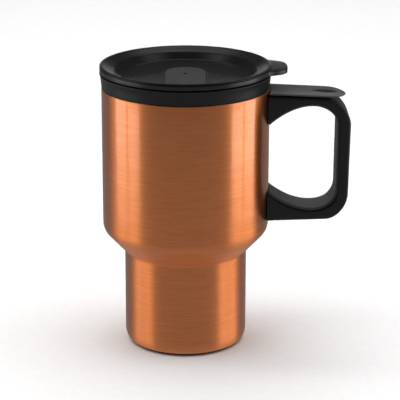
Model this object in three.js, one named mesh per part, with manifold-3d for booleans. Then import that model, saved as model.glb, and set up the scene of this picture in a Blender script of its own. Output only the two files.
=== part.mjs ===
// Insulated travel mug: a stepped double-wall body with a handle, and a push-in lid with a slide closure.
// Millimetres, +Z up. The origin is on the mug's axis, in the plane it stands on.
// The handle points along +X and the drink slot is at -Y.

import * as THREE from "three";
import { mergeVertices } from "three/addons/utils/BufferGeometryUtils.js";
import Module from "manifold-3d";

const wasm = await Module();
wasm.setup();

// ---- Driving dimensions -------------------------------------------------------------------------

// Body
const baseDiameter = 67; // lower cylinder, which sits in a cup holder
const bodyDiameter = 90.8; // upper cylinder
const stepHeight = 52.6; // where the shoulder leaves the lower cylinder
const shoulderRise = 12.8; // height of the shoulder's slope
const shellHeight = 144.2; // top edge of the steel
const shoulderRadius = 8.1; // rounding between shoulder and upper cylinder
const stepRadius = 1.4; // rounding between lower cylinder and shoulder
const footRounding = { width: 2.6, height: 5.9 }; // elliptical rounding at the steel's lower edge
const shellWall = 0.8;
const shellLip = 1.9; // width of the lip turned in under the body
const airGap = 2;
const linerWall = 1.6;
const linerFloor = 8; // underside of the liner's floor
const linerRounding = 6;

// Base
const padRadius = 27;
const padThickness = 1.5;
const padRim = 3.7; // how far the cap reaches past the pad
const capLift = 0.3; // the cap's rim stays this far above the table
const capRimThickness = 0.65;
const capNeck = 2.8; // height of the neck inside the shell's lip
const capPlate = 2.2; // thickness of the cap over the pad

// Collar
const collarHeight = 7.7;
const collarFlare = 1; // the collar grows this much in radius towards its top
const collarSkirt = 8; // depth of the skirt inside the shell
const collarLip = 1; // thickness of the lip over the liner's rim
const sealThickness = 0.8;

// Lid
const lidFlangeDrop = 0.1; // the flange's edge is this much narrower than the collar
const partingGap = 0.6; // visible gap between collar and lid
const flangeHeight = 3; // straight edge of the flange
const crestRise = 0.6; // from the flange's edge up to the crest
const crestInset = 1.4;
const dishSlopeWidth = 5.7; // sloping land inside the crest
const dishSlopeDrop = 2.4;
const dishWallWidth = 5.8; // coved wall between that land and the floor
const dishWallDrop = 3.5;
const lidFloorThickness = 2;
const plugDepth = 7.5; // from the floor's underside to the plug's lower edge
const plugWall = 3.2;
const plugClearance = 0.45;
const gasketHeight = 2;
const gasketDepth = 1.45; // radial size of the gasket
const grooveRise = 5; // from the plug's lower edge to the gasket's groove
const tabReach = 8.55; // past the flange's edge
const tabHalfWidth = 13.4;
const tabRoot = 11; // length of the tab's rounding, from inside the flange to the tip
const tabThickness = 2.7;
const tabInset = 1.2; // from the crest to where the tab starts inside the flange

// Slide closure
const sliderWidth = 21.8;
const sliderThickness = 0.9;
const sliderTravel = 12;
const sliderFrontGap = 1.7; // from the slider's front edge to the edge of the floor
const sliderRearGap = 8.75; // left behind the slider when it is open
const lipHeight = 1.2; // thumb lip along the slider's front edge
const lipDepth = 5;
const slotWidth = 17;
const slotLength = 7;
const slotFrontGap = 4.4; // from the drink slot to the edge of the floor
const ventRadius = 1.1;
const ventPlace = -2.7; // y of the slider's vent hole when closed
const railWidth = 1.2;
const railHeight = 1.4;
const railEnd = 4; // y where the rails end
const railFrontInset = 2.4; // from the rails' front ends to the edge of the floor
const stemSpacing = 12; // between the slider's two stems
const stemSize = { width: 1.4, length: 5 };
const stemPlace = -9.5; // y of the stems' centres when closed
const keeperMargin = 1.8; // keeper past the stems
const keeperThickness = 1.6;

// Handle
const handleReach = 43.55; // from the body to the back of the grip
const handleWidth = 23;
const gripThickness = 5.8;
const handleDrop = 1.5; // from the shell's top down to the handle's top
const handleRise = 5.6; // from the shoulder's slope up to the handle's underside
const upperArmDepth = 17.5; // height of the upper arm where it meets the body
const lowerArmDepth = 16;
const upperArmThickness = 6.1; // with the thumb rest, at its thinnest
const lowerArmThickness = 5.6;
const edgeRounding = 1.2;
const insertWidth = 19;
const insertDepth = 1.2; // how deep the insert lies in the frame
const insertProud = 1.4; // how far it stands out
const insertGroove = 0.7; // gap along each side of the insert
const thumbThickness = 0.9;
const thumbTip = 2.6; // the grip reaches this far past the thumb rest's tip
const thumbSlope = 0.045; // fall of the thumb rest per length
const thumbHollow = { inset: 9.5, length: 15, width: 13, depth: 0.5 };
const bracket = { length: 9.7, width: 8, height: 3.6 };
const bracketDrop = 3.9; // from the handle's top to the upper bracket
const bracketLift = 3.1; // from the handle's underside to the lower bracket
const screwPlace = 5.5; // from the body to the screws' axes
const screwHead = { radius: 2.8, height: 1.6 };
const screwRadius = 1.4;
const seatWall = 1.6; // plastic between the screw's head and the bracket's pocket

// Clearances
const gap = 0.3; // between pieces that touch
const turns = 48; // facets round the axis

// ---- Derived places -----------------------------------------------------------------------------

const baseRadius = baseDiameter / 2;
const bodyRadius = bodyDiameter / 2;
const capRimTop = capLift + capRimThickness;
const shellBottom = capRimTop + gap;
const shoulderTop = stepHeight + shoulderRise;
const shoulderAngle = Math.atan2(bodyRadius - baseRadius, shoulderRise); // from the vertical
const linerInset = shellWall + airGap; // from the outside of the steel to the outside of the liner
const collarBottom = shellHeight + gap;
const collarTop = collarBottom + collarHeight;
const mouthRadius = bodyRadius - linerInset - linerWall;
const linerTop = collarTop - collarLip - gap - sealThickness - gap;
const flangeRadius = bodyRadius + collarFlare - lidFlangeDrop;
const flangeBottom = collarTop + partingGap;
const flangeTop = flangeBottom + flangeHeight;
const crestRadius = flangeRadius - crestInset;
const crestTop = flangeTop + crestRise;
const dishFloorRadius = crestRadius - dishSlopeWidth - dishWallWidth;
const dishFloor = crestTop - dishSlopeDrop - dishWallDrop;
const plugRadius = mouthRadius - plugClearance;
const floorUnderside = dishFloor - lidFloorThickness;
const plugBottom = floorUnderside - plugDepth;
const sliderBottom = dishFloor + gap;
const sliderFront = dishFloorRadius - sliderFrontGap; // radius of the slider's front edge
const sliderRear = dishFloorRadius - sliderRearGap - sliderTravel; // y of its rear end
const handleTop = shellHeight - handleDrop;
const handleBottom = shoulderTop + handleRise;
const gripBack = bodyRadius + handleReach; // x of the grip's outer face
const gripFront = gripBack - gripThickness;
const thumbEnd = gripBack - thumbTip;
const upperBracketTop = handleTop - bracketDrop;
const lowerBracketBottom = handleBottom + bracketLift;

// ---- Geometry helpers ---------------------------------------------------------------------------

// A three.js geometry as a solid that can be joined and cut.
function solid(geometry) {
  const bare = geometry.clone();
  bare.deleteAttribute("normal");
  bare.deleteAttribute("uv");
  const merged = mergeVertices(bare, 1e-4);
  return new wasm.Manifold(
    new wasm.Mesh({
      numProp: 3,
      vertProperties: merged.attributes.position.array,
      triVerts: new Uint32Array(merged.index.array),
    }),
  );
}

// A solid back as a three.js geometry.
function geometryOf(body) {
  const made = body.getMesh();
  const geometry = new THREE.BufferGeometry();
  geometry.setAttribute("position", new THREE.BufferAttribute(new Float32Array(made.vertProperties), 3));
  geometry.setIndex(new THREE.BufferAttribute(new Uint32Array(made.triVerts), 1));
  geometry.computeVertexNormals();
  return geometry;
}

// Turns a closed profile of [radius, z] points about the Z axis; its outer side runs upwards.
function turned(profile, facets = turns) {
  const points = profile.map(([r, z]) => new THREE.Vector2(r, z));
  const onAxis = profile[0][0] === 0 && profile.at(-1)[0] === 0;
  if (!onAxis) points.push(points[0].clone());
  return new THREE.LatheGeometry(points, facets).rotateX(Math.PI / 2);
}

// Pushes an outline in the XZ plane along Y, centred, with its edges rounded by rounding.
function acrossY(shape, width, rounding = 0, curveSegments = 10) {
  return new THREE.ExtrudeGeometry(shape, {
    depth: width - 2 * rounding,
    curveSegments,
    bevelEnabled: rounding > 0,
    bevelSize: rounding,
    bevelThickness: rounding,
    bevelOffset: -rounding,
    bevelSegments: 2,
  })
    .translate(0, 0, rounding - width / 2)
    .rotateX(Math.PI / 2);
}

// Pushes an outline in the XY plane up from one height to another.
function upwards(shape, low, high, curveSegments = 16) {
  return new THREE.ExtrudeGeometry(shape, {
    depth: high - low,
    curveSegments,
    bevelEnabled: false,
  }).translate(0, 0, low);
}

// An upright round bar.
function bar(radius, low, high, x = 0, y = 0, facets = 24) {
  return new THREE.CylinderGeometry(radius, radius, high - low, facets)
    .rotateX(Math.PI / 2)
    .translate(x, y, (low + high) / 2);
}

// A box between two corners.
function box([x0, y0, z0], [x1, y1, z1]) {
  const block = new THREE.BoxGeometry(x1 - x0, y1 - y0, z1 - z0);
  return block.translate((x0 + x1) / 2, (y0 + y1) / 2, (z0 + z1) / 2);
}

// A closed outline from a list of [x, y] points.
function outline(points) {
  return new THREE.Shape(points.map(([x, y]) => new THREE.Vector2(x, y)));
}

// The corner at b between a and c, rounded by an arc of this radius, as steps + 1 points.
function rounded(a, b, c, radius, steps) {
  const corner = new THREE.Vector2(...b);
  const back = new THREE.Vector2(...a).sub(corner).normalize();
  const on = new THREE.Vector2(...c).sub(corner).normalize();
  const half = Math.acos(back.dot(on)) / 2;
  const centre = back.clone().add(on).normalize().multiplyScalar(radius / Math.sin(half)).add(corner);
  const start = back.clone().multiplyScalar(radius / Math.tan(half)).add(corner).sub(centre);
  const end = on.clone().multiplyScalar(radius / Math.tan(half)).add(corner).sub(centre);
  const sweep = Math.atan2(start.cross(end), start.dot(end));
  return Array.from({ length: steps + 1 }, (_, i) => {
    const point = start.clone().rotateAround(new THREE.Vector2(), (sweep * i) / steps);
    return [centre.x + point.x, centre.y + point.y];
  });
}

// The stepped side of the body at this depth under its surface, from z = low up to z = high.
function steppedSide(inset, low, high) {
  const shift = inset * Math.tan(shoulderAngle / 2);
  const step = [baseRadius - inset, stepHeight + shift];
  const shoulder = [bodyRadius - inset, shoulderTop + shift];
  return [
    [baseRadius - inset, low],
    ...rounded([baseRadius - inset, low], step, shoulder, stepRadius + inset, 3),
    ...rounded(step, shoulder, [bodyRadius - inset, high], shoulderRadius - inset, 4),
    [bodyRadius - inset, high],
  ];
}

// ---- Body ---------------------------------------------------------------------------------------

// The outer wall, open at the top, with a lip turned in at the bottom.
function outerShell() {
  const { width, height } = footRounding;
  const foot = (inset, steps) =>
    Array.from({ length: steps }, (_, i) => {
      const turn = ((i / steps) * Math.PI) / 2;
      return [
        baseRadius - width + (width - inset) * Math.sin(turn),
        shellBottom + inset + (height - inset) * (1 - Math.cos(turn)),
      ];
    });
  const outside = [...foot(0, 4), ...steppedSide(0, shellBottom + height, shellHeight)];
  const inside = [...foot(shellWall, 4), ...steppedSide(shellWall, shellBottom + height, shellHeight)];
  const lipRadius = baseRadius - width - shellLip;
  return turned([
    [lipRadius, shellBottom],
    ...outside,
    ...inside.reverse(),
    [lipRadius, shellBottom + shellWall],
  ]);
}

// The cup that holds the drink, one air gap inside the shell.
function innerLiner() {
  const cup = (inset, floor, rounding) => [
    [0, floor],
    ...rounded([0, floor], [baseRadius - inset, floor], [baseRadius - inset, stepHeight], rounding, 4),
    ...steppedSide(inset, stepHeight / 2, linerTop),
  ];
  const outside = cup(linerInset, linerFloor, linerRounding);
  const inside = cup(linerInset + linerWall, linerFloor + linerWall, linerRounding - linerWall);
  return turned([...outside, ...inside.reverse()]);
}

// The ring that closes the gap between the liner and the shell, flush with the steel and flared to the lid.
function rimCollar() {
  const skirtInner = bodyRadius - linerInset + gap;
  const skirtOuter = bodyRadius - shellWall - gap;
  return turned([
    [skirtInner, shellHeight - collarSkirt],
    [skirtOuter, shellHeight - collarSkirt],
    [skirtOuter, collarBottom],
    [bodyRadius, collarBottom],
    [bodyRadius + collarFlare, collarTop],
    [mouthRadius, collarTop],
    [mouthRadius, collarTop - collarLip],
    [skirtInner, collarTop - collarLip],
  ]);
}

// The flat ring pressed between the liner's rim and the collar's lip.
function collarSeal() {
  const outer = bodyRadius - linerInset;
  return turned([
    [mouthRadius + gap, linerTop + gap],
    [outer, linerTop + gap],
    [outer, linerTop + gap + sealThickness],
    [mouthRadius + gap, linerTop + gap + sealThickness],
  ]);
}

// The cap under the body, with a neck that fits inside the shell's lip and a recess for the pad.
function baseCap() {
  const recess = padRadius + gap;
  const recessTop = padThickness + gap;
  const neckRadius = baseRadius - footRounding.width - shellLip - gap;
  return turned([
    [0, recessTop],
    [recess, recessTop],
    [recess, capLift],
    [padRadius + padRim, capLift],
    [padRadius + padRim, capRimTop],
    [neckRadius, capRimTop],
    [neckRadius, capRimTop + capNeck],
    [recess - capPlate, capRimTop + capNeck],
    [recess - capPlate, recessTop + capPlate],
    [0, recessTop + capPlate],
  ]);
}

// The non-slip disc that the mug stands on.
function basePad() {
  return turned([
    [0, 0],
    [padRadius, 0],
    [padRadius, padThickness],
    [0, padThickness],
  ]);
}

// ---- Handle -------------------------------------------------------------------------------------

// The inner loop of the handle, from the body under the upper arm round to the body over the lower arm.
// Its curves keep their proportions along the arms, whatever the handle's reach.
function handleLoop() {
  const path = new THREE.Path();
  const start = bodyRadius - 1;
  const armLength = gripFront - start;
  const along = (share) => gripFront - share * armLength;
  const roof = handleTop - upperArmThickness;
  const ground = handleBottom + lowerArmThickness;
  path.moveTo(start, handleTop - upperArmDepth + 0.6);
  path.bezierCurveTo(along(0.845), handleTop - 11.4, along(0.613), roof, along(0.38), roof);
  path.bezierCurveTo(along(0.173), roof, along(0.01), roof - 5.3, gripFront, roof - 11.3);
  path.lineTo(gripFront - 0.2, ground + 13.5);
  path.bezierCurveTo(along(0.008), ground + 4.5, along(0.16), ground, along(0.388), ground);
  const lowerEnd = handleBottom + lowerArmDepth - 0.5;
  path.bezierCurveTo(along(0.6), ground, along(0.819), ground + 3.8, start, lowerEnd);
  return path;
}

// The outer outline of the handle, with its top lowered by this much for the thumb rest.
function handleOutline(lowered) {
  const top = handleTop - lowered;
  const start = bodyRadius - 1;
  const shape = new THREE.Shape();
  shape.moveTo(start, handleBottom);
  shape.lineTo(gripBack - 12.4, handleBottom + 1);
  const low = handleBottom;
  shape.bezierCurveTo(
    gripBack - 6.1, low + 1.6, gripBack - 0.8, low + 8.5, gripBack - 0.7, low + 15.5,
  );
  shape.lineTo(gripBack, handleTop - 17.4);
  shape.bezierCurveTo(
    gripBack - 0.3, handleTop - 10.2, gripBack - 8.1, top - 2.4, gripBack - 12.1, top - 1.5,
  );
  shape.lineTo(start, top);
  handleLoop()
    .getPoints(10)
    .forEach((point) => shape.lineTo(point.x, point.y));
  return shape;
}

// A band along the handle's loop, from this far outside the frame to this far inside it.
function loopBand(proud, deep) {
  const points = handleLoop().getSpacedPoints(48);
  const side = (offset) =>
    points.map((point, i) => {
      const before = points[Math.max(i - 1, 0)];
      const after = points[Math.min(i + 1, points.length - 1)];
      const along = after.clone().sub(before).normalize();
      return [point.x + along.y * offset, point.y - along.x * offset];
    });
  return outline([...side(proud), ...side(-deep).reverse()]);
}

// Everything within the body's outside, grown by one gap: cut from whatever stands against the steel.
function bodyCutter(clearance) {
  return solid(bar(bodyRadius + clearance, -10, crestTop + 10, 0, 0, 4 * turns));
}

// The pocket in the handle round a bracket, grown by this clearance and open towards the body.
function bracketBlock(bottom, clearance) {
  const halfWidth = bracket.width / 2 + clearance;
  const end = bodyRadius + bracket.length + clearance;
  return box(
    [bodyRadius - 4, -halfWidth, bottom - clearance],
    [end, halfWidth, bottom + bracket.height + clearance],
  );
}

// The two screws: up into the upper bracket, and down into the lower one.
const upperScrewSide = {
  bracketBottom: upperBracketTop - bracket.height,
  headFace: upperBracketTop - bracket.height - gap - seatWall,
  inward: 1,
};
const lowerScrewSide = {
  bracketBottom: lowerBracketBottom,
  headFace: lowerBracketBottom + bracket.height + gap + seatWall,
  inward: -1,
};

// A screw, or with a clearance the hole for it; the head's hole is drilled right out of the loop.
function screwBody({ headFace, inward }, clearance = 0, headLength = screwHead.height) {
  const x = bodyRadius + screwPlace;
  const face = headFace + inward * (clearance - gap);
  const tip = headFace + inward * (seatWall + bracket.height);
  const head = [face, face - inward * (headLength + 2 * clearance)].sort((a, b) => a - b);
  const shank = [face - inward * 0.5, tip + inward * clearance].sort((a, b) => a - b);
  return solid(bar(screwHead.radius + clearance, ...head, x)).add(
    solid(bar(screwRadius + clearance, ...shank, x, 0, 16)),
  );
}

function handleFrame() {
  const frame = solid(acrossY(handleOutline(thumbThickness + gap), handleWidth, edgeRounding));
  const channel = solid(acrossY(loopBand(4, insertDepth + gap), insertWidth + 2 * insertGroove));
  let cut = frame.subtract(channel).subtract(bodyCutter(gap));
  for (const side of [upperScrewSide, lowerScrewSide]) {
    cut = cut.subtract(solid(bracketBlock(side.bracketBottom, gap))).subtract(screwBody(side, gap, 12));
  }
  return geometryOf(cut);
}

function handleInsert() {
  const band = solid(acrossY(loopBand(insertProud, insertDepth), insertWidth, 0.5));
  let strip = band.subtract(bodyCutter(gap));
  for (const side of [upperScrewSide, lowerScrewSide]) strip = strip.subtract(screwBody(side, gap));
  return geometryOf(strip);
}

function handleBracket({ bracketBottom, headFace, inward }) {
  const hole = screwBody({ headFace, inward }, gap);
  return geometryOf(solid(bracketBlock(bracketBottom, 0)).subtract(bodyCutter(gap)).subtract(hole));
}

// The plate on top of the handle: it slopes down to a round tip and has an oval hollow for the thumb.
function thumbRest() {
  const start = bodyRadius - 2;
  const length = thumbEnd - start;
  const fall = (x) => (x - bodyRadius) * thumbSlope;
  const side = [0, 0.5, 0.8, 1].map((share) => {
    const x = start + share * length;
    return [x, handleTop - fall(x)];
  });
  const underside = side.map(([x, z]) => [x, z - thumbThickness]).reverse();
  const plan = new THREE.Shape();
  plan.moveTo(start, -handleWidth / 2);
  plan.lineTo(thumbEnd - handleWidth / 2, -handleWidth / 2);
  plan.absarc(thumbEnd - handleWidth / 2, 0, handleWidth / 2, -Math.PI / 2, Math.PI / 2, false);
  plan.lineTo(start, handleWidth / 2);
  const hollowX = thumbEnd - thumbHollow.inset;
  const hollow = new THREE.SphereGeometry(1, 24, 12)
    .scale(thumbHollow.length / 2, thumbHollow.width / 2, thumbHollow.depth)
    .translate(hollowX, 0, handleTop - fall(hollowX));
  const plate = solid(acrossY(outline([...side, ...underside]), handleWidth + 2)).intersect(
    solid(upwards(plan, handleTop - 20, handleTop + 5)),
  );
  return geometryOf(plate.subtract(solid(hollow)).subtract(bodyCutter(2 * gap)));
}

// ---- Lid ----------------------------------------------------------------------------------------

// The thumb tab's outline: a rounded tongue that leaves the flange along +X.
function tabOutline() {
  const tip = flangeRadius + tabReach;
  const points = [];
  for (let i = 0; i <= 24; i += 1) {
    const turn = -Math.PI / 2 + (Math.PI * i) / 24;
    const power = 2 / 2.3;
    points.push([
      tip - tabRoot + tabRoot * Math.cos(turn) ** power,
      Math.sign(turn) * tabHalfWidth * Math.abs(Math.sin(turn)) ** power,
    ]);
  }
  return outline([[crestRadius - 6, -tabHalfWidth], ...points, [crestRadius - 6, tabHalfWidth]]);
}

// The flat oblong hole of a guide or slot, as a box through the floor.
function throughFloor([x0, y0], [x1, y1]) {
  return solid(box([x0, y0, floorUnderside - 1], [x1, y1, dishFloor + 1]));
}

function stemCentres() {
  return [-stemSpacing / 2, stemSpacing / 2];
}

function lidBody() {
  const grooveBottom = plugBottom + grooveRise;
  const grooveRadius = plugRadius - gasketDepth;
  const dishEdge = [crestRadius - dishSlopeWidth, crestTop - dishSlopeDrop];
  const cove = Array.from({ length: 4 }, (_, i) => {
    const turn = ((i + 1) / 4) * (Math.PI / 2);
    const height = dishWallDrop * (1 - Math.sin(turn)) ** 1.5;
    return [dishEdge[0] - dishWallWidth * Math.sin(turn), dishFloor + height];
  });
  const bowl = solid(
    turned([
      [0, floorUnderside],
      [plugRadius - plugWall, floorUnderside],
      [plugRadius - plugWall, plugBottom],
      [plugRadius, plugBottom],
      [plugRadius, grooveBottom],
      [grooveRadius, grooveBottom],
      [grooveRadius, grooveBottom + gasketHeight + 2 * gap],
      [plugRadius, grooveBottom + gasketHeight + 2 * gap],
      [plugRadius, collarTop + gap],
      [flangeRadius - 1.8, collarTop + gap],
      [flangeRadius - 1.5, flangeBottom],
      [flangeRadius, flangeBottom],
      [flangeRadius, flangeTop],
      [flangeRadius - 0.4, flangeTop + 0.7 * crestRise],
      [crestRadius, crestTop],
      dishEdge,
      ...cove,
      [0, dishFloor],
    ]),
  );
  const insideCrest = solid(bar(crestRadius - tabInset, flangeBottom - 1, crestTop + 1, 0, 0, turns));
  const tab = solid(upwards(tabOutline(), flangeBottom, flangeBottom + tabThickness)).subtract(insideCrest);
  let lid = bowl.add(tab);
  for (const sideways of [-1, 1]) {
    const inner = sideways * (sliderWidth / 2 + gap);
    const outer = inner + sideways * railWidth;
    const front = -Math.sqrt((dishFloorRadius - railFrontInset) ** 2 - outer ** 2);
    const [x0, x1] = [inner, outer].sort((a, b) => a - b);
    lid = lid.add(solid(box([x0, front, dishFloor - 1], [x1, railEnd, dishFloor + railHeight])));
  }
  const slotFront = -(dishFloorRadius - slotFrontGap);
  lid = lid.subtract(throughFloor([-slotWidth / 2, slotFront], [slotWidth / 2, slotFront + slotLength]));
  for (const x of stemCentres()) {
    const reach = stemSize.length / 2 + gap;
    const halfWidth = stemSize.width / 2 + gap;
    lid = lid.subtract(
      throughFloor([x - halfWidth, stemPlace - reach], [x + halfWidth, stemPlace + sliderTravel + reach]),
    );
  }
  const vent = solid(bar(ventRadius, floorUnderside - 1, dishFloor + 1, 0, ventPlace + sliderTravel, 16));
  return geometryOf(lid.subtract(vent));
}

// The silicone ring in the plug's groove.
function lidGasket() {
  const low = plugBottom + grooveRise + gap;
  const outer = mouthRadius - gap;
  const inner = plugRadius - gasketDepth + gap;
  return turned([
    [inner, low],
    [plugRadius, low],
    [outer, low + gasketHeight / 2],
    [plugRadius, low + gasketHeight],
    [inner, low + gasketHeight],
  ]);
}

// The slider's plan: straight sides, a round rear end, and a front edge that follows the floor's edge.
function sliderOutline() {
  const half = sliderWidth / 2;
  const frontY = -Math.sqrt(sliderFront ** 2 - half ** 2);
  const corner = Math.atan2(frontY, half);
  const shape = new THREE.Shape();
  shape.absarc(0, 0, sliderFront, -Math.PI - corner, corner, false);
  shape.lineTo(half, sliderRear - half);
  shape.absarc(0, sliderRear - half, half, 0, Math.PI, false);
  return shape;
}

function drinkSlider() {
  const plan = sliderOutline();
  const top = sliderBottom + sliderThickness;
  const lipSide = outline([
    [-sliderFront - 1, sliderBottom],
    [-sliderFront + lipDepth, sliderBottom],
    [-sliderFront + lipDepth, top],
    [-sliderFront + 1, top + lipHeight],
    [-sliderFront - 1, top + lipHeight],
  ]);
  const wedge = acrossY(lipSide, sliderWidth).rotateZ(Math.PI / 2);
  let slider = solid(upwards(plan, sliderBottom, top)).add(
    solid(wedge).intersect(solid(upwards(plan, sliderBottom, top + 2 * lipHeight))),
  );
  for (const x of stemCentres()) {
    const { width, length } = stemSize;
    const low = floorUnderside - keeperThickness;
    const near = [x - width / 2, stemPlace - length / 2, low];
    const far = [x + width / 2, stemPlace + length / 2, top];
    slider = slider.add(solid(box(near, far)));
  }
  return geometryOf(slider.subtract(solid(bar(ventRadius, dishFloor, top + 1, 0, ventPlace, 16))));
}

// The plate clipped on the slider's stems under the floor.
function sliderKeeper() {
  const top = floorUnderside - gap;
  const halfX = stemSpacing / 2 + stemSize.width / 2 + keeperMargin;
  const halfY = stemSize.length / 2 + keeperMargin;
  const bottom = top - keeperThickness;
  let plate = solid(box([-halfX, stemPlace - halfY, bottom], [halfX, stemPlace + halfY, top]));
  for (const x of stemCentres()) {
    const halfWidth = stemSize.width / 2 + gap;
    const halfLength = stemSize.length / 2 + gap;
    const low = [x - halfWidth, stemPlace - halfLength, bottom - 1];
    const high = [x + halfWidth, stemPlace + halfLength, top + 1];
    plate = plate.subtract(solid(box(low, high)));
  }
  return geometryOf(plate);
}

// ---- Assembly -----------------------------------------------------------------------------------

const steel = new THREE.MeshStandardMaterial({ color: 0xb06a45, roughness: 0.32, metalness: 1 });
const plainSteel = new THREE.MeshStandardMaterial({ color: 0xb9b9ba, roughness: 0.35, metalness: 1 });
const satinBlack = new THREE.MeshStandardMaterial({ color: 0x1c1c1e, roughness: 0.45, metalness: 0 });
const matteBlack = new THREE.MeshStandardMaterial({ color: 0x202022, roughness: 0.6, metalness: 0 });
const sliderGrey = new THREE.MeshStandardMaterial({ color: 0x3c3c3e, roughness: 0.6, metalness: 0 });
const softBlack = new THREE.MeshStandardMaterial({ color: 0x18181a, roughness: 0.8, metalness: 0 });
const silicone = new THREE.MeshStandardMaterial({ color: 0x8d8d8b, roughness: 0.65, metalness: 0 });

const mug = new THREE.Group();
const lid = new THREE.Group();

function place(group, name, geometry, material) {
  const mesh = new THREE.Mesh(geometry, material);
  mesh.name = name;
  group.add(mesh);
}

place(mug, "outer_shell", outerShell(), steel);
place(mug, "inner_liner", innerLiner(), satinBlack);
place(mug, "rim_collar", rimCollar(), satinBlack);
place(mug, "collar_seal", collarSeal(), silicone);
place(mug, "base_cap", baseCap(), satinBlack);
place(mug, "base_pad", basePad(), softBlack);
place(mug, "upper_bracket", handleBracket(upperScrewSide), plainSteel);
place(mug, "lower_bracket", handleBracket(lowerScrewSide), plainSteel);
place(mug, "upper_screw", geometryOf(screwBody(upperScrewSide)), plainSteel);
place(mug, "lower_screw", geometryOf(screwBody(lowerScrewSide)), plainSteel);
place(mug, "handle_frame", handleFrame(), satinBlack);
place(mug, "handle_insert", handleInsert(), sliderGrey);
place(mug, "thumb_rest", thumbRest(), matteBlack);
place(lid, "lid_body", lidBody(), matteBlack);
place(lid, "lid_gasket", lidGasket(), silicone);
place(lid, "drink_slider", drinkSlider(), sliderGrey);
place(lid, "slider_keeper", sliderKeeper(), matteBlack);

const group = new THREE.Group();
group.add(mug, lid);

export default group;
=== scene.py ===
"""Insulated travel mug: a copper-coloured brushed steel body with a black handle, and a push-in lid with
a slide that closes the drink slot.

Metres, +Z up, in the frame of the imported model: the mug's axis is the Z axis, the handle points along +X
and the drink slot is at -Y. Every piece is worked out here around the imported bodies, whose boxes give its
place.
"""

import math

import bmesh
import bpy
import numpy as np
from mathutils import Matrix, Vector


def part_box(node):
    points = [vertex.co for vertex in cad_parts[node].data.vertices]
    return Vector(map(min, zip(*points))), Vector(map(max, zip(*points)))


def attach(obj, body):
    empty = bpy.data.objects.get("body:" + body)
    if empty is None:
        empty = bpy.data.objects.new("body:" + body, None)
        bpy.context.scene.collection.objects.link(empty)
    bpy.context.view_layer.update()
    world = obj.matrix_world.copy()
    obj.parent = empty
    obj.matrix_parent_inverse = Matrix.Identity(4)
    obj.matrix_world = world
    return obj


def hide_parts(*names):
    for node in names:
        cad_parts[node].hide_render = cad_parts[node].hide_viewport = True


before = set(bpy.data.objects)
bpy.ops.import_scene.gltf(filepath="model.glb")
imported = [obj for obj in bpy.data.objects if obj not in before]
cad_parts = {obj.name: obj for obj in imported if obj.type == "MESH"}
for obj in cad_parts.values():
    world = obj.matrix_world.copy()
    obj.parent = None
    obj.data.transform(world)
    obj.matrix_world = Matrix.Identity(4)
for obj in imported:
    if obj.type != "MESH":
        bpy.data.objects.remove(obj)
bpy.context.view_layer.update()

# ---- Outer shell --------------------------------------------------------------------------------
# The outer wall is one stainless steel drawing with a narrower lower half, which fits a cup holder.
# It is brushed round its axis, coloured copper and coated with clear gloss lacquer.

mm = 0.001
shell_low, shell_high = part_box("outer_shell")
body_radius = shell_high.x
shell_bottom, shell_top = shell_low.z, shell_high.z
base_radius = 33.5 * mm
step_height = 52.6 * mm  # where the shoulder leaves the lower half
shoulder_height = 65.4 * mm  # where the shoulder's slope would meet the upper half
shell_wall = 0.8 * mm
shoulder_angle = math.atan2(body_radius - base_radius, shoulder_height - step_height)
step_round, shoulder_round = 1.4 * mm, 8.1 * mm  # of the bends into and out of the shoulder
foot_width, foot_height = 2.6 * mm, 5.9 * mm
lip_reach = 4.5 * mm  # how far the steel turns in under the body


def arc(centre, radius, start, end, steps):
    """Points at equal angles on an arc: centre + radius (cos a, sin a). Radius is a number or a pair."""
    angle = np.radians(np.linspace(start, end, steps + 1))
    return np.asarray(centre) + np.stack([np.cos(angle), np.sin(angle)], -1) * radius


def corner(a, b, c, radius, steps=8):
    """The corner at b between a and c as an arc that touches both lines, centred on their bisector."""
    a, b, c = (np.asarray(p, float) for p in (a, b, c))
    back, on = (a - b) / np.linalg.norm(a - b), (c - b) / np.linalg.norm(c - b)
    half = math.acos(np.clip(back @ on, -1, 1)) / 2
    middle = (back + on) / np.linalg.norm(back + on)
    centre = b + middle * radius / math.sin(half)
    start = b + back * radius / math.tan(half) - centre
    end = b + on * radius / math.tan(half) - centre
    sweep = math.atan2(start[0] * end[1] - start[1] * end[0], start @ end)
    turn = np.linspace(0, sweep, steps + 1)
    across = np.array([-start[1], start[0]])
    return centre + np.cos(turn)[:, None] * start + np.sin(turn)[:, None] * across


def stepped_side(inset, low, high):
    """The body's side this far under its surface: each line moves in by inset, so corners rise by
    inset times the tangent of half the shoulder's angle."""
    rise = inset * math.tan(shoulder_angle / 2)
    foot, top = (base_radius - inset, low), (body_radius - inset, high)
    step = (base_radius - inset, step_height + rise)
    shoulder = (body_radius - inset, shoulder_height + rise)
    low_bend = corner(foot, step, shoulder, step_round + inset)
    high_bend = corner(step, shoulder, top, shoulder_round - inset, 14)
    return np.vstack([foot, low_bend, high_bend, top])


def surface(name, grid, close_rows=True, close_columns=True):
    """A mesh of quads between the points grid[row, column]; either direction may join its end to its start.
    Doubled points are merged, so poles and seams close, and an open end is filled with a face."""
    rows, columns = grid.shape[:2]
    index = np.arange(rows * columns).reshape(rows, columns)
    if close_rows:
        index = np.vstack([index, index[:1]])
    if close_columns:
        index = np.hstack([index, index[:, :1]])
    corners = index[:-1, :-1], index[1:, :-1], index[1:, 1:], index[:-1, 1:]
    faces = np.stack(corners, -1).reshape(-1, 4)
    mesh = bpy.data.meshes.new(name)
    mesh.from_pydata(grid.reshape(-1, 3).tolist(), [], faces.tolist())
    made = bpy.data.objects.new(name, mesh)
    bpy.context.scene.collection.objects.link(made)
    tidy_mesh(made)
    return made


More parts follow.
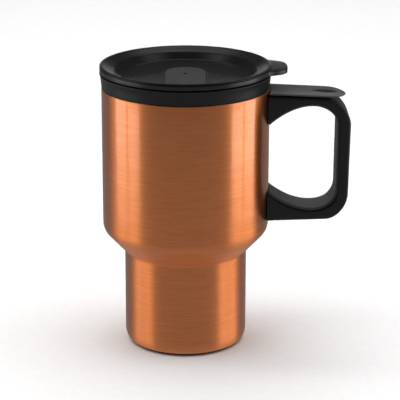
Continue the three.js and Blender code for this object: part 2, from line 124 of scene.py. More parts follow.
def tidy_mesh(made, sharp=32):
    """Merges doubles, fills open ends, turns faces outwards, and shades smooth up to this many degrees."""
    body = bmesh.new()
    body.from_mesh(made.data)
    bmesh.ops.remove_doubles(body, verts=body.verts, dist=2e-6)
    bmesh.ops.dissolve_degenerate(body, edges=body.edges, dist=1e-7)
    rims = [edge for edge in body.edges if edge.is_boundary]
    if rims:
        filled = bmesh.ops.holes_fill(body, edges=rims, sides=0)
        bmesh.ops.triangulate(body, faces=filled["faces"])
    bmesh.ops.recalc_face_normals(body, faces=body.faces)
    body.to_mesh(made.data)
    body.free()
    made.data.shade_smooth()
    made.data.set_sharp_from_angle(angle=math.radians(sharp))


def turned(name, profile, facets=192):
    """A profile of (radius, z) turned about the Z axis: (r cos a, r sin a, z)."""
    profile = np.asarray(profile, float)
    angle = np.linspace(0, 2 * np.pi, facets, endpoint=False)[:, None]
    radius, height = profile[None, :, 0], profile[None, :, 1]
    grid = np.stack([radius * np.cos(angle), radius * np.sin(angle), height + 0 * angle], -1)
    return surface(name, grid)


def shell_foot(inset):
    """The rounding under the body: a quarter ellipse, this far inside the steel's outer face."""
    centre = (base_radius - foot_width, shell_bottom + foot_height)
    return arc(centre, (foot_width - inset, foot_height - inset), -90, 0, 10)[:-1]


def shell_profile():
    """Outside up, over a rolled rim, down the inside and round the lip turned in under the body."""
    low = shell_bottom + foot_height
    rim = shell_wall / 2
    outside = stepped_side(0, low, shell_top - rim)
    over = arc((body_radius - rim, shell_top - rim), rim, 0, 180, 6)
    inside = stepped_side(shell_wall, low, shell_top - rim)[::-1]
    lip = base_radius - lip_reach
    return np.vstack(
        [
            [(lip, shell_bottom)],
            shell_foot(0),
            outside,
            over,
            inside,
            shell_foot(shell_wall)[::-1],
            [(lip, shell_bottom + shell_wall)],
        ]
    )


def new_material(name):
    """An empty node material with one Principled shader: the material, its tree and the shader."""
    made = bpy.data.materials.new(name)
    made.use_nodes = True
    tree = made.node_tree
    return made, tree, tree.nodes["Principled BSDF"]


def node(tree, kind, settings=(), **sockets):
    """A shader node with its settings. Its inputs are linked or set by name, where an underscore is a
    space, or by number, as i0."""
    made = tree.nodes.new("ShaderNode" + kind)
    for key, value in dict(settings).items():
        setattr(made, key, value)
    for key, value in sockets.items():
        by_number = key[0] == "i" and key[1:].isdigit()
        target = made.inputs[int(key[1:]) if by_number else key.replace("_", " ")]
        if isinstance(value, bpy.types.NodeSocket):
            tree.links.new(value, target)
        else:
            target.default_value = value
    return made


def sums(tree, operation, a, b=0.0):
    """One step of arithmetic on two values or sockets."""
    return node(tree, "Math", {"operation": operation}, i0=a, i1=b).outputs[0]


def spread(tree, value, low, high, start=0.0, end=1.0):
    """A value from start..end mapped in a straight line to low..high, and held inside them."""
    return node(tree, "MapRange", i0=value, i1=start, i2=end, i3=low, i4=high).outputs[0]


def tint(tree, share, first, second):
    """A colour that goes from first to second with share."""
    mix = tree.nodes.new("ShaderNodeMix")
    mix.data_type = "RGBA"
    tree.links.new(share, mix.inputs[0])
    mix.inputs[6].default_value = (*first, 1)
    mix.inputs[7].default_value = (*second, 1)
    return mix.outputs[2]


def brushing():
    """Shader group for metal brushed round the Z axis. The brush leaves long fine scratches, so its noise
    is stretched round the axis: slow along X and Y, and fast along the height plus the radius."""
    group = bpy.data.node_groups.new("brushing round the axis", "ShaderNodeTree")
    sockets = group.interface
    for name, value in (("Line pitch", 0.3), ("Streak length", 14.0)):
        sockets.new_socket(name, in_out="INPUT", socket_type="NodeSocketFloat").default_value = value
    for name in ("Scratches", "Bands"):
        sockets.new_socket(name, in_out="OUTPUT", socket_type="NodeSocketFloat")
    inputs = group.nodes.new("NodeGroupInput").outputs
    outputs = group.nodes.new("NodeGroupOutput").inputs
    place = node(group, "TexCoord").outputs["Object"]
    split = node(group, "SeparateXYZ", Vector=place).outputs
    across, deep = (sums(group, "MULTIPLY", split[k], split[k]) for k in (0, 1))
    climb = sums(group, "ADD", split[2], sums(group, "SQRT", sums(group, "ADD", across, deep)))
    slow = sums(group, "DIVIDE", 1000.0, inputs["Streak length"])
    fast = sums(group, "DIVIDE", 1000.0, inputs["Line pitch"])
    for output, share, detail in (("Scratches", 1.0, 2.0), ("Bands", 0.3, 2.0)):
        vector = node(
            group,
            "CombineXYZ",
            X=sums(group, "MULTIPLY", split[0], sums(group, "MULTIPLY", slow, share ** 0.5)),
            Y=sums(group, "MULTIPLY", split[1], sums(group, "MULTIPLY", slow, share ** 0.5)),
            Z=sums(group, "MULTIPLY", climb, sums(group, "MULTIPLY", fast, share)),
        ).outputs[0]
        noise = node(group, "TexNoise", Vector=vector, Scale=1.0, Detail=detail, Roughness=0.6)
        group.links.new(noise.outputs[0], outputs[output])
    return group


brush_group = brushing()


def brushed_steel(name, dark, light, roughness, coat, pitch=0.3):
    """Brushed metal: scratches in the bump, streaks in colour and roughness, and a clear coat if any."""
    made, tree, shader = new_material(name)
    brush = node(tree, "Group", {"node_tree": brush_group}, Line_pitch=pitch)
    streak = spread(tree, brush.outputs["Bands"], 0.0, 1.0, 0.3, 0.7)
    fine = spread(tree, brush.outputs["Scratches"], 0.0, 1.0, 0.3, 0.7)
    both = sums(tree, "ADD", sums(tree, "MULTIPLY", streak, 0.22), sums(tree, "MULTIPLY", fine, 0.78))
    tree.links.new(tint(tree, both, dark, light), shader.inputs["Base Color"])
    tree.links.new(spread(tree, both, roughness + 0.05, roughness - 0.05), shader.inputs["Roughness"])
    bump = node(tree, "Bump", Strength=0.35, Distance=0.00002, Height=fine)
    tree.links.new(bump.outputs[0], shader.inputs["Normal"])
    shader.inputs["Metallic"].default_value = 1.0
    shader.inputs["Anisotropic"].default_value = 0.92
    shader.inputs["Anisotropic Rotation"].default_value = 0.25
    shader.inputs["Coat Weight"].default_value = coat
    shader.inputs["Coat Roughness"].default_value = 0.08
    tangent = node(tree, "Tangent", {"direction_type": "RADIAL", "axis": "Z"})
    tree.links.new(tangent.outputs[0], shader.inputs["Tangent"])
    return made


def fit(made, material, body, slot, *nodes):
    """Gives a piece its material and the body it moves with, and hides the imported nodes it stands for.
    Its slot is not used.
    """
    made.data.materials.clear()
    made.data.materials.append(material)
    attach(made, body)
    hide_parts(*nodes)
    return made


copper_steel = brushed_steel("copper lacquered steel", (0.84, 0.25, 0.070), (1.0, 0.325, 0.098), 0.42, 0.75)
outer_wall = turned("steel_body", shell_profile(), 256)
fit(outer_wall, copper_steel, "mug", "copper_steel", "outer_shell")

# ---- Base cap and pad ---------------------------------------------------------------------------
# A black plastic cap closes the bottom, and its neck presses into the steel's lip. A rubber disc is
# glued into its recess and stands 0.3 mm proud, so that the mug rests on rubber.


def moulding():
    """Shader group for moulded plastic and rubber: a fine grain from the mould's skin, cloudy mottling
    where the plastic flowed, and thin rubbed marks from handling."""
    group = bpy.data.node_groups.new("moulded skin", "ShaderNodeTree")
    sockets = group.interface
    sockets.new_socket("Grain size", in_out="INPUT", socket_type="NodeSocketFloat").default_value = 0.3
    for name in ("Grain", "Mottle", "Rubbed"):
        sockets.new_socket(name, in_out="OUTPUT", socket_type="NodeSocketFloat")
    inputs = group.nodes.new("NodeGroupInput").outputs
    outputs = group.nodes.new("NodeGroupOutput").inputs
    place = node(group, "TexCoord").outputs["Object"]
    scale = sums(group, "DIVIDE", 1000.0, inputs["Grain size"])
    grain = node(group, "TexNoise", Vector=place, Scale=scale, Detail=2.0, Roughness=0.55)
    mottle = node(group, "TexNoise", Vector=place, Scale=85.0, Detail=3.0, Roughness=0.5)
    stretched = node(group, "Mapping", Vector=place, Rotation=(0.4, 0.9, 0.3), Scale=(90.0, 900.0, 900.0))
    marks = node(group, "TexNoise", Vector=stretched.outputs[0], Scale=1.0, Detail=2.0, Roughness=0.6)
    group.links.new(grain.outputs[0], outputs["Grain"])
    group.links.new(spread(group, mottle.outputs[0], 0.0, 1.0, 0.32, 0.68), outputs["Mottle"])
    group.links.new(spread(group, marks.outputs[0], 0.0, 1.0, 0.62, 0.78), outputs["Rubbed"])
    return group


skin_group = moulding()


def moulded(name, dark, light, roughness, grain_size=0.3, depth=0.25, gloss=0.5):
    """Moulded plastic or rubber: mottled in colour and roughness, polished where rubbed, and grained."""
    made, tree, shader = new_material(name)
    skin = node(tree, "Group", {"node_tree": skin_group}, Grain_size=grain_size)
    tree.links.new(tint(tree, skin.outputs["Mottle"], dark, light), shader.inputs["Base Color"])
    even = spread(tree, skin.outputs["Mottle"], roughness - 0.03, roughness + 0.04)
    worn = sums(tree, "SUBTRACT", even, sums(tree, "MULTIPLY", skin.outputs["Rubbed"], 0.06))
    tree.links.new(worn, shader.inputs["Roughness"])
    bump = node(tree, "Bump", Strength=depth, Distance=0.00003, Height=skin.outputs["Grain"])
    tree.links.new(bump.outputs[0], shader.inputs["Normal"])
    shader.inputs["Specular IOR Level"].default_value = gloss
    return made


satin_black = moulded(
    "satin black plastic", (0.0035, 0.0035, 0.0038), (0.0055, 0.0055, 0.006), 0.36, gloss=0.3
)
pad_rubber = moulded("pad rubber", (0.014, 0.014, 0.014), (0.022, 0.022, 0.021), 0.72, 0.5, 0.5)

cap_low, cap_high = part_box("base_cap")
pad_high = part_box("base_pad")[1]
cap_radius, pad_radius = cap_high.x, pad_high.x
cap_rim_top = shell_bottom - 0.3 * mm
cap_profile = np.vstack(
    [
        [(0, pad_high.z + 0.3 * mm), (pad_radius + 0.3 * mm, pad_high.z + 0.3 * mm)],
        [(pad_radius + 0.3 * mm, cap_low.z + 0.1 * mm), (pad_radius + 0.45 * mm, cap_low.z)],
        arc((cap_radius - 0.3 * mm, cap_low.z + 0.3 * mm), 0.3 * mm, -90, 0, 5),
        [(cap_radius, cap_rim_top), (base_radius - 4.8 * mm, cap_rim_top)],
        [(base_radius - 4.8 * mm, cap_high.z - 0.3 * mm), (base_radius - 5.1 * mm, cap_high.z)],
        [(pad_radius - 1.9 * mm, cap_high.z), (pad_radius - 1.9 * mm, pad_high.z + 2.5 * mm)],
        [(0, pad_high.z + 2.5 * mm)],
    ]
)
fit(turned("base_cap_moulding", cap_profile, 128), satin_black, "mug", "black_plastic", "base_cap")


def pad_profile():
    """The pad's underside has three shallow rings moulded in for grip, each a half round groove."""
    rings = [arc((radius * mm, 0), 0.45 * mm, 180, 0, 6) for radius in (14, 18, 22)]
    rim = arc((pad_radius - 0.4 * mm, 0.4 * mm), 0.4 * mm, -90, 0, 4)
    top = [(pad_radius, pad_high.z), (0, pad_high.z)]
    return np.vstack([[(0, 0)], *rings, rim, top])


fit(turned("foot_pad", pad_profile(), 128), pad_rubber, "mug", "pad_rubber", "base_pad")

# ---- Inner liner --------------------------------------------------------------------------------
# The drink is held by a black polypropylene cup. It follows the steel one air gap inside it, and its
# rim is covered by the collar.

liner_low, liner_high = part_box("inner_liner")
liner_inset = body_radius - liner_high.x  # from the outside of the steel to the outside of the liner
liner_wall = 1.6 * mm
mouth_radius = body_radius - liner_inset - liner_wall
food_black = moulded(
    "food grade black plastic", (0.008, 0.008, 0.0085), (0.012, 0.012, 0.0125), 0.42, 0.6, 0.15
)


def cup_side(inset, floor, rounding, top):
    """One side of the cup, from the middle of its floor up to its rim."""
    radius = base_radius - inset
    bend = corner((0, floor), (radius, floor), (radius, step_height), rounding, 10)
    return np.vstack([[(0, floor)], bend, stepped_side(inset, step_height / 2, top)])


rim_round = liner_wall / 2
floor_round = 6 * mm
rim_start = liner_high.z - rim_round
liner_inside = liner_inset + liner_wall
liner_floor = liner_low.z + liner_wall
liner_profile = np.vstack(
    [
        cup_side(liner_inset, liner_low.z, floor_round, rim_start),
        arc((liner_high.x - rim_round, rim_start), rim_round, 0, 180, 8)[1:-1],
        cup_side(liner_inside, liner_floor, floor_round - liner_wall, rim_start)[::-1],
    ]
)
fit(turned("liner_cup", liner_profile), food_black, "mug", "black_plastic", "inner_liner")

# ---- Collar and its seal ------------------------------------------------------------------------
# A black ring closes the space between liner and steel. It is flush with the steel, flares out to the
# lid, and its skirt is glued inside the steel. A flat silicone ring seals it on the liner's rim.

collar_low, collar_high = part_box("rim_collar")
collar_bottom = shell_top + 0.3 * mm
collar_top = collar_high.z
collar_radius = collar_high.x
skirt_radius = body_radius - shell_wall - 0.3 * mm
collar_flare = ((0.12, 2.2), (0.36, 4.4), (0.66, 6.4))  # out from the steel, and up, in mm
collar_profile = np.vstack(
    [
        [(liner_high.x + 0.3 * mm, collar_low.z), (skirt_radius - 0.3 * mm, collar_low.z)],
        [(skirt_radius, collar_low.z + 0.5 * mm), (skirt_radius, collar_bottom)],
        arc((body_radius - 0.2 * mm, collar_bottom + 0.2 * mm), 0.2 * mm, -90, 0, 4),
        [(body_radius + flare * mm, collar_bottom + rise * mm) for flare, rise in collar_flare],
        arc((collar_radius - 0.45 * mm, collar_top - 0.45 * mm), 0.45 * mm, 0, 90, 6),
        arc((mouth_radius + 0.35 * mm, collar_top - 0.35 * mm), 0.35 * mm, 90, 180, 5),
        [(mouth_radius, collar_top - 1 * mm), (liner_high.x + 0.3 * mm, collar_top - 1 * mm)],
    ]
)
fit(turned("collar_ring", collar_profile, 256), satin_black, "mug", "black_plastic", "rim_collar")


def cover(name, material):
    """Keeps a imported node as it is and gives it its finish."""
    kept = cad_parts[name]
    kept.data.materials.clear()
    kept.data.materials.append(material)


grey_silicone = moulded("grey silicone", (0.20, 0.20, 0.195), (0.26, 0.26, 0.25), 0.5, 0.8, 0.12)
grey_silicone.node_tree.nodes["Principled BSDF"].inputs["Subsurface Weight"].default_value = 0.15
cover("collar_seal", grey_silicone)

# ---- Brackets and screws ------------------------------------------------------------------------
# Two steel blocks are spot welded to the shell, inside the handle's ends. A screw through the handle
# holds each, with its head in the channel that the insert covers.

bare_steel = brushed_steel("bare steel", (0.42, 0.42, 0.41), (0.56, 0.56, 0.55), 0.38, 0.0, 0.15)
for name in ("upper_bracket", "lower_bracket", "upper_screw", "lower_screw"):
    cover(name, bare_steel)

# ---- Handle frame -------------------------------------------------------------------------------
# The handle is one black moulding, a C with rounded edges. Its ends are cut to the steel's curve, and a
# channel along the inside of the loop takes the insert.

handle_low, handle_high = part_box("handle_frame")
thumb_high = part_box("thumb_rest")[1]
handle_width = handle_high.y - handle_low.y
handle_top = thumb_high.z
handle_bottom = handle_low.z
grip_back = handle_high.x
grip_front = grip_back - 5.8 * mm
clearance = 0.3 * mm
thumb_thickness = 0.9 * mm
upper_arm, lower_arm = 6.1 * mm, 5.6 * mm  # thickness where the arms are thinnest
insert_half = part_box("handle_insert")[1].y


def bezier(p0, p1, p2, p3, steps):
    """Points of a cubic curve: the four controls weighted by the Bernstein polynomials of t."""
    t = np.linspace(0, 1, steps, endpoint=False)[:, None]
    p0, p1, p2, p3 = (np.asarray(p, float) for p in (p0, p1, p2, p3))
    return p0 * (1 - t) ** 3 + 3 * p1 * t * (1 - t) ** 2 + 3 * p2 * t**2 * (1 - t) + p3 * t**3


def line(p0, p1, steps):
    """Equally spaced points of a straight line."""
    return np.linspace(p0, p1, steps, endpoint=False)


def handle_curves(steps=28):
    """The loop inside the handle and the outline round it, as matching (x, z) points from the upper end,
    round the grip, to the lower end; and the unit normals from the loop into the frame and out of it."""
    start = body_radius - 1 * mm
    arm = grip_front - start
    roof, ground = handle_top - upper_arm, handle_bottom + lower_arm
    upper_end, lower_end = (start, handle_top - 16.9 * mm), (start, handle_bottom + 15.5 * mm)
    top = handle_top - thumb_thickness - clearance

    def along(share):
        """The x this share of the way back from the grip to the steel."""
        return grip_front - share * arm

    crown, floor = (along(0.38), roof), (along(0.388), ground)
    grip_top, grip_low = (grip_front, roof - 11.3 * mm), (grip_front - 0.2 * mm, ground + 13.5 * mm)
    inner = np.vstack(
        [
            bezier(upper_end, (along(0.845), handle_top - 11.4 * mm), (along(0.613), roof), crown, steps),
            bezier(crown, (along(0.173), roof), (along(0.01), roof - 5.3 * mm), grip_top, steps),
            line(grip_top, grip_low, steps),
            bezier(grip_low, (along(0.008), ground + 4.5 * mm), (along(0.16), ground), floor, steps),
            bezier(floor, (along(0.6), ground), (along(0.819), ground + 3.8 * mm), lower_end, steps),
            [lower_end],
        ]
    )
    bend_top, back_top = (grip_back - 12.1 * mm, top - 1.5 * mm), (grip_back, handle_top - 17.4 * mm)
    back_low = (grip_back - 0.7 * mm, handle_bottom + 15.5 * mm)
    bend_low = (grip_back - 12.4 * mm, handle_bottom + 1 * mm)
    outer = np.vstack(
        [
            line((start, top), bend_top, steps),
            bezier(
                bend_top,
                (grip_back - 8.1 * mm, top - 2.4 * mm),
                (grip_back - 0.3 * mm, handle_top - 10.2 * mm),
                back_top,
                steps,
            ),
            line(back_top, back_low, steps),
            bezier(
                back_low,
                (grip_back - 0.8 * mm, handle_bottom + 8.5 * mm),
                (grip_back - 6.1 * mm, handle_bottom + 1.6 * mm),
                bend_low,
                steps,
            ),
            line(bend_low, (start, handle_bottom), steps),
            [(start, handle_bottom)],
        ]
    )

    def left_of(points):
        """Unit normals to the left of the way along these points: the tangent turned a quarter turn."""
        way = np.gradient(points, axis=0)
        way /= np.linalg.norm(way, axis=1)[:, None]
        return np.stack([-way[:, 1], way[:, 0]], -1)

    return inner, outer, left_of(inner), left_of(outer)


loop, rim, loop_normal, rim_normal = handle_curves()


def against_steel(grid, gap=clearance):
    """Moves what would be inside the steel out along X, to where x is sqrt((radius + gap)^2 - y^2)."""
    wall = np.sqrt((body_radius + gap) ** 2 - grid[..., 1] ** 2)
    grid[..., 0] = np.maximum(grid[..., 0], wall)
    return grid


def handle_section(half, channel, depth, inner_round, outer_round):
    """The frame's section, as (share, offset, y): share 0 is on the loop and 1 on the outline, and offset
    is measured into the frame from either. One half goes from the channel's floor to the outer face."""
    turn = np.radians(np.linspace(0, 90, 6))
    inside = [(0, depth, 0.0), (0, depth, channel * 0.5), (0, depth, channel - 0.15 * mm)]
    inside += [(0, depth - 0.15 * mm, channel), (0, 0.15 * mm, channel), (0, 0.0, channel + 0.15 * mm)]
    edge = half - inner_round
    inside += [(0, inner_round * (1 - math.cos(a)), edge + inner_round * math.sin(a)) for a in turn]
    edge = half - outer_round
    outside = [(1, outer_round * (1 - math.sin(a)), edge + outer_round * math.cos(a)) for a in turn]
    outside += [(1, 0.0, edge * share) for share in (0.75, 0.5, 0.25, 0.0)]
    one = np.array(inside + outside)
    other = one[::-1][1:-1] * (1, 1, -1)
    return np.vstack([one, other])


def along_handle(section):
    """Carries a section round the handle: loop + normal * offset, or outline - normal * offset, and y is
    across."""
    share, offset, across = (section[None, :, k] for k in range(3))
    near = loop[:, None] + loop_normal[:, None] * offset[..., None]
    far = rim[:, None] - rim_normal[:, None] * offset[..., None]
    flat = np.where(share[..., None] > 0.5, far, near)
    return against_steel(np.stack([flat[..., 0], across + 0 * flat[..., 0], flat[..., 1]], -1))


channel_depth = 1.5 * mm
frame_round_in, frame_round_out = 0.45 * mm, 1.6 * mm
frame_section = handle_section(
    handle_width / 2, insert_half + 1.05 * mm, channel_depth, frame_round_in, frame_round_out
)
handle_moulding = surface("handle_moulding", along_handle(frame_section), close_rows=False)
fit(handle_moulding, satin_black, "mug", "black_plastic", "handle_frame")

# ---- Handle insert ------------------------------------------------------------------------------
# A soft-feel strip is pressed into the channel inside the loop, where the fingers hold. Its padded face
# overhangs a ledge on each side, with a slot below each, and it hides the two screws.

soft_feel = moulded("soft feel plastic", (0.044, 0.044, 0.045), (0.058, 0.058, 0.059), 0.45, 0.22, 0.4)


def strip_section(half, proud, depth, rounding):
    """Half of the strip's section and its mirror image: a crowned pad that falls away with the square of
    the distance from the middle, a slot under its edge, a ledge, a second slot, and a narrow root."""
    turn = np.radians(np.linspace(0, 90, 6))
    ledge_top, ledge_bottom, slot_depth = -0.78 * mm, -0.38 * mm, 1.3 * mm
    pad = half - 0.75 * mm
    edge = pad - rounding
    face = -proud + 0.1 * mm
    side = face + rounding
    one = [(0, face - 0.1 * mm * (1 - share**2), edge * share) for share in (0, 0.3, 0.6, 0.85)]
    one += [(0, face + rounding * (1 - math.cos(a)), edge + rounding * math.sin(a)) for a in turn]
    one += [(0, side + 0.03 * mm, pad - 0.1 * mm), (0, side + 0.03 * mm, pad - slot_depth)]
    one += [(0, ledge_top, pad - slot_depth), (0, ledge_top, half - 0.12 * mm)]
    one += [(0, ledge_top + 0.1 * mm, half), (0, ledge_bottom - 0.07 * mm, half)]
    one += [(0, ledge_bottom, half - 0.08 * mm), (0, ledge_bottom, half - slot_depth)]
    one += [(0, depth, half - slot_depth), (0, depth, half * 0.5), (0, depth, 0)]
    one = np.array(one)
    return np.vstack([one, one[::-1][1:-1] * (1, 1, -1)])


strip_proud, strip_root, strip_round = 1.5 * mm, channel_depth - clearance, 0.35 * mm
strip_shape = strip_section(insert_half + 0.6 * mm, strip_proud, strip_root, strip_round)
strip = surface("handle_strip", along_handle(strip_shape), False)
fit(strip, soft_feel, "mug", "grey_plastic", "handle_insert")

# ---- Thumb rest ---------------------------------------------------------------------------------
# A thin plate is welded on top of the handle. It is hollowed lengthwise, its round tip reaches past the
# handle's bend, and an oval dimple near the tip takes the thumb.


def plate(name, edge_line, top, bottom, rounding, under, rings):
    """A plate inside a closed outline. Its rings shrink from the outline to its middle, at height
    top(x, y) above and bottom(x, y) below. A quarter circle rounds its edge above, and one of radius under
    rounds it below."""
    edge_line = np.asarray(edge_line, float)
    way = np.roll(edge_line, -1, 0) - np.roll(edge_line, 1, 0)
    way /= np.linalg.norm(way, axis=1)[:, None]
    inward = np.stack([-way[:, 1], way[:, 0]], -1)
    middle = edge_line.mean(0)
    turn = np.radians(np.linspace(0, 90, 6))
    shares = np.linspace(1, 0, rings) ** 0.8
    rows = []
    for radius, height in ((-under, bottom), (rounding, top)):
        inner = edge_line + inward * abs(radius)
        flats = [middle + (inner - middle) * share for share in shares]
        edges = [edge_line + inward * abs(radius) * (1 - math.cos(a)) for a in turn]
        face = [np.column_stack([p, height(*p.T)]) for p in flats]
        lowered = [radius * (1 - math.sin(a)) for a in turn]
        rim_rows = [np.column_stack([p, height(*p.T) - drop]) for p, drop in zip(edges, lowered)]
        rows.append(rim_rows[:-1] + face)
    grid = np.stack(rows[0][::-1] + rows[1], 1)
    return surface(name, grid, close_columns=False)


thumb_tip = thumb_high.x
thumb_half = handle_width / 2
thumb_slope = 0.045
trough_depth, dimple_depth = 0.3 * mm, 0.45 * mm
droop_length = 9 * mm  # the tip's last stretch, which bends down a little
dimple_x = thumb_tip - 11.3 * mm
dimple_length, dimple_width = 14.4 * mm, 10.4 * mm


def thumb_outline():
    """Straight sides from the steel, a half round tip, and an end that follows the steel's curve."""
    wall = body_radius + 0.6 * mm
    side = math.sqrt(wall**2 - thumb_half**2)
    round_x = thumb_tip - thumb_half
    low = line((side, -thumb_half), (round_x, -thumb_half), 30)
    tip = arc((round_x, 0), thumb_half, -90, 90, 48)[:-1]
    high = line((round_x, thumb_half), (side, thumb_half), 30)
    reach = math.degrees(math.asin(thumb_half / wall))
    end = arc((0, 0), wall, reach, -reach, 24)[:-1]
    return np.vstack([low, tip, high, end])


def thumb_top(x, y):
    """A slope away from the mug, less a shallow trough along the middle, less the thumb's oval dimple."""
    slope = handle_top - (x - body_radius) * thumb_slope
    trough = trough_depth * np.clip(1 - (y / (0.86 * thumb_half)) ** 2, 0, 1)
    oval = (2 * (x - dimple_x) / dimple_length) ** 2 + (2 * y / dimple_width) ** 2
    dimple = dimple_depth * np.clip(1 - oval, 0, 1) ** 0.7
    droop = 0.35 * mm * np.clip((x - thumb_tip) / droop_length + 1, 0, 1) ** 2
    return slope - trough - dimple - droop


def thumb_underside(x, y):
    """Parallel to the slope, one plate's thickness down, and drooping with the tip."""
    droop = 0.3 * mm * np.clip((x - thumb_tip) / droop_length + 1, 0, 1) ** 2
    return handle_top - (x - body_radius) * thumb_slope - thumb_thickness - droop + 0 * y


def dimple_gloss_and_painted_shade(material):
    """The dimple's plastic is glossier, and its colour is darkened there as painted shade for the hollow.
    A mask that is 1 inside the oval and fades to 0 across its edge mixes both in."""
    tree = material.node_tree
    shader = tree.nodes["Principled BSDF"]
    scale = (2 / dimple_length, 2 / dimple_width, 0)
    shift = (-dimple_x * scale[0], 0, 0)
    place = node(tree, "TexCoord").outputs["Object"]
    centred = node(tree, "Mapping", Vector=place, Location=shift, Scale=scale).outputs[0]
    reach = node(tree, "VectorMath", {"operation": "LENGTH"}, i0=centred).outputs["Value"]
    inside = spread(tree, reach, 1.0, 0.0, 0.86, 1.0)
    kinds = (
        # Painted shade: the darker base colour in the dimple stands for the hollow's shading; the lower
        # roughness is a real glossier finish.
        ("Base Color", "RGBA", (6, 7, 2), (0.011, 0.011, 0.0115, 1)),
        ("Roughness", "FLOAT", (2, 3, 0), 0.24),
    )
    for socket, kind, (plain, shaded_glossy, out), value in kinds:
        before = shader.inputs[socket].links[0].from_socket
        mix = node(tree, "Mix", {"data_type": kind}, i0=inside)
        tree.links.new(before, mix.inputs[plain])
        mix.inputs[shaded_glossy].default_value = value
        tree.links.new(mix.outputs[out], shader.inputs[socket])


thumb_plate = plate(
    "thumb_plate", thumb_outline(), thumb_top, thumb_underside, rounding=0.25 * mm, under=0.6 * mm, rings=40
)
thumb_plastic = moulded("thumb rest plastic", (0.038, 0.038, 0.040), (0.050, 0.050, 0.052), 0.36, 0.25, 0.3)
dimple_gloss_and_painted_shade(thumb_plastic)
fit(thumb_plate, thumb_plastic, "mug", "black_plastic", "thumb_rest")

# ---- Lid ----------------------------------------------------------------------------------------
# The lid is one black moulding: a flange with a thumb tab, a dished floor with a fine bead round it, and
# a plug that goes into the mouth. Rails, a drink slot, two guide slots and a vent serve the slide.

lid_low, lid_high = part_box("lid_body")
gasket_low, gasket_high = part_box("lid_gasket")
crest_top = lid_high.z
flange_radius = lid_high.y
flange_bottom = collar_top + 0.6 * mm
floor_top = crest_top - 5.9 * mm
floor_under = floor_top - 2 * mm
plug_bottom = lid_low.z
plug_radius = mouth_radius - 0.45 * mm
bead_radius = 33.4 * mm
tab_reach = lid_high.x - flange_radius


def tab_growth(angle):
    """How much of the tab's reach the flange has at this angle: exp(-(a / 14.7 degrees)^4.6)."""
    return np.exp(-((np.abs(angle) / math.radians(14.7)) ** 4.6))


def lid_profile():
    """Half of the lid's section as (radius, z, share of the tab): the plug, the flange, the crest, the
    coved dish, the bead and the floor, from the middle of the underside to the middle of the floor."""
    groove_low, groove_high = gasket_low.z - clearance, gasket_high.z + clearance
    flange = flange_radius
    low, high = flange_bottom, flange_bottom + 2.7 * mm
    parts = [
        [(0, floor_under), (plug_radius - 4.2 * mm, floor_under)],
        arc((plug_radius - 4.2 * mm, floor_under - 1 * mm), 1 * mm, 90, 0, 5),
        [(plug_radius - 3.2 * mm, plug_bottom + 0.5 * mm), (plug_radius - 2.7 * mm, plug_bottom)],
        arc((plug_radius - 1.2 * mm, plug_bottom + 1.2 * mm), 1.2 * mm, -90, 0, 6),
        [(plug_radius, groove_low), (plug_radius - 1.45 * mm, groove_low)],
        [(plug_radius - 1.45 * mm, groove_high), (plug_radius, groove_high)],
        [(plug_radius, collar_top + clearance), (flange - 1.9 * mm, collar_top + clearance)],
        [(flange - 1.6 * mm, low)],
    ]
    plain = np.vstack(parts)
    plain = np.column_stack([plain, np.zeros(len(plain))])
    under = arc((flange - 0.35 * mm, low + 0.35 * mm), 0.35 * mm, -90, 0, 5)
    over = arc((flange - 0.7 * mm, high - 0.7 * mm), 0.7 * mm, 0, 90, 7)
    tab = np.vstack([under, over])
    tab = np.column_stack([tab, np.ones(len(tab))])
    crest = arc((flange - 1.4 * mm, crest_top - 0.75 * mm), (1.4 * mm, 0.75 * mm), 0, 90, 9)
    land_end = (flange - 7 * mm, crest_top - 2.15 * mm)
    edge_end = (flange - 8.1 * mm, crest_top - 2.95 * mm)
    wall_end = (flange - 10 * mm, crest_top - 4.95 * mm)
    land_middle = (flange - 3 * mm, crest_top - 0.25 * mm), (flange - 5 * mm, crest_top - 1.5 * mm)
    slope = bezier((flange - 1.4 * mm, crest_top), *land_middle, land_end, 12)[1:]
    edge_middle = (flange - 7.4 * mm, crest_top - 2.3 * mm), (flange - 7.75 * mm, crest_top - 2.55 * mm)
    edge = bezier(land_end, *edge_middle, edge_end, 6)
    cove_high = (flange - 10.5 * mm, floor_top + 0.42 * mm)
    cove_low = (bead_radius + 2.2 * mm, floor_top + 0.05 * mm)
    cove_end = (bead_radius + 1.1 * mm, floor_top)
    turn_in = bezier(wall_end, cove_high, cove_low, cove_end, 8)
    cove = np.vstack([line(edge_end, wall_end, 4), turn_in, [cove_end]])
    bead = arc((bead_radius, floor_top - 0.05 * mm), 0.38 * mm, 10, 170, 8)
    inside = [(bead_radius - 0.5 * mm, floor_top), (bead_radius * 0.5, floor_top), (0, floor_top)]
    rest = np.vstack([crest, slope, edge, cove, bead, inside])
    rest = np.column_stack([rest, np.zeros(len(rest))])
    return np.vstack([plain, tab, rest])


def lid_moulding():
    """The lid's section turned about the Z axis, with the tab's points pushed out by their share of its
    reach."""
    radius, height, share = lid_profile().T[:, None]
    near = np.radians(np.linspace(-26, 26, 105))
    far = np.radians(np.linspace(26, 334, 232))[1:-1]
    angle = np.concatenate([near, far])[:, None]
    radius = radius + share * tab_reach * tab_growth((angle + np.pi) % (2 * np.pi) - np.pi)
    grid = np.stack([radius * np.cos(angle), radius * np.sin(angle), height + 0 * angle], -1)
    return surface("lid_moulding", grid)


def block(name, low, high, rounding, steps=6):
    """An upright block with rounded corners in plan, from its lowest to its highest corner."""
    (x0, y0, z0), (x1, y1, z1) = low, high
    corners = (
        arc((x1 - rounding, y0 + rounding), rounding, -90, 0, steps),
        arc((x1 - rounding, y1 - rounding), rounding, 0, 90, steps),
        arc((x0 + rounding, y1 - rounding), rounding, 90, 180, steps),
        arc((x0 + rounding, y0 + rounding), rounding, 180, 270, steps),
    )
    ring = np.vstack(corners)
    levels = [np.column_stack([ring, np.full(len(ring), z)]) for z in (z0, z1)]
    return surface(name, np.stack(levels, 1), close_columns=False)


